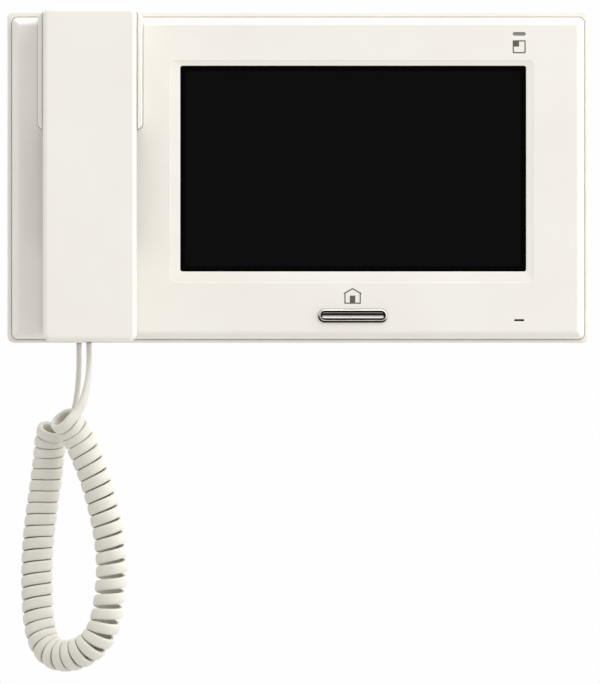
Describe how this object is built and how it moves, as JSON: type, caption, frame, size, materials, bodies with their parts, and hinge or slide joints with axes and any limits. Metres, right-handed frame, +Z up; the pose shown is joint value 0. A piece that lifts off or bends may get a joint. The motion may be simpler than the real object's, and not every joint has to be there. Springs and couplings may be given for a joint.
{
  "type": "video intercom monitor",
  "caption": "Wall-mounted indoor video intercom monitor with a flat screen, a talk button and a corded handset that rests in a cradle at the left.",
  "frame": {"origin": "middle of the monitor's outline on the wall plane, on the back of the wall bracket", "axes": "+X right for a person facing the screen, +Y into the wall, +Z up"},
  "size_m": [0.2602, 0.05, 0.2969],
  "materials": {
    "housing_plastic": "fine moulded texture, warm off-white",
    "zinc_steel": "zinc plated",
    "screen_glass": "black-backed, polished",
    "black_plastic": "moulded",
    "circuit_board": "lacquered glass-fibre board",
    "chrome": "polished plating",
    "clear_plastic": "translucent, polished",
    "soft_rubber": "moulded",
    "cone_paper": "pressed paper",
    "cord_plastic": "satin jacket, warm off-white"
  },
  "bodies": {
    "root": {"wall_bracket": "zinc_steel", "rear_housing": "housing_plastic", "housing_screw_1": "zinc_steel", "housing_screw_2": "zinc_steel", "housing_screw_3": "zinc_steel", "housing_screw_4": "zinc_steel", "bracket_lock_screw": "zinc_steel", "front_cover": "housing_plastic", "ear_cradle": "housing_plastic", "display_glass": "screen_glass", "lcd_panel": "black_plastic", "lcd_frame": "zinc_steel", "main_board": "circuit_board", "board_screw_1": "zinc_steel", "board_screw_2": "zinc_steel", "board_screw_3": "zinc_steel", "board_screw_4": "zinc_steel", "board_shield": "zinc_steel", "door_terminal_block": "black_plastic", "power_terminal_block": "black_plastic", "status_light_pipe": "clear_plastic", "status_led": "clear_plastic", "microphone": "zinc_steel", "microphone_boot": "soft_rubber", "button_bezel": "chrome", "talk_switch": "black_plastic", "hook_switch": "black_plastic", "hook_board": "circuit_board", "speaker_basket": "zinc_steel", "speaker_cone": "cone_paper", "speaker_magnet": "zinc_steel", "base_jack": "black_plastic", "base_plug": "clear_plastic", "cord_base_lead": "cord_plastic", "cord_coil": "cord_plastic", "cord_handset_lead": "cord_plastic"},
    "handset": {"handset_front_shell": "housing_plastic", "handset_back_shell": "housing_plastic", "earpiece_receiver": "black_plastic", "earpiece_gasket": "soft_rubber", "handset_microphone": "zinc_steel", "handset_microphone_boot": "soft_rubber", "handset_weight": "zinc_steel", "handset_screw_1": "zinc_steel", "handset_screw_2": "zinc_steel", "handset_screw_3": "zinc_steel", "handset_jack": "black_plastic", "handset_plug": "clear_plastic"},
    "talk_button": {"talk_button": "chrome"},
    "hook_plunger": {"hook_plunger": "housing_plastic"}
  },
  "joints": [
    {"name": "handset_lift", "type": "slide", "parent": "root", "child": "handset", "axis": [0, -1, 0], "range_m": [0, 0.045]},
    {"name": "hook_plunger_slide", "type": "slide", "parent": "root", "child": "hook_plunger", "axis": [0, -1, 0], "range_m": [0, 0.004]},
    {"name": "talk_button_press", "type": "slide", "parent": "root", "child": "talk_button", "axis": [0, 1, 0], "range_m": [0, 0.0008], "stiffness_N_per_m": 600}
  ],
  "couplings": [
    {"joint": "hook_plunger_slide", "follows": "handset_lift", "ratio": 0.0888}
  ]
}
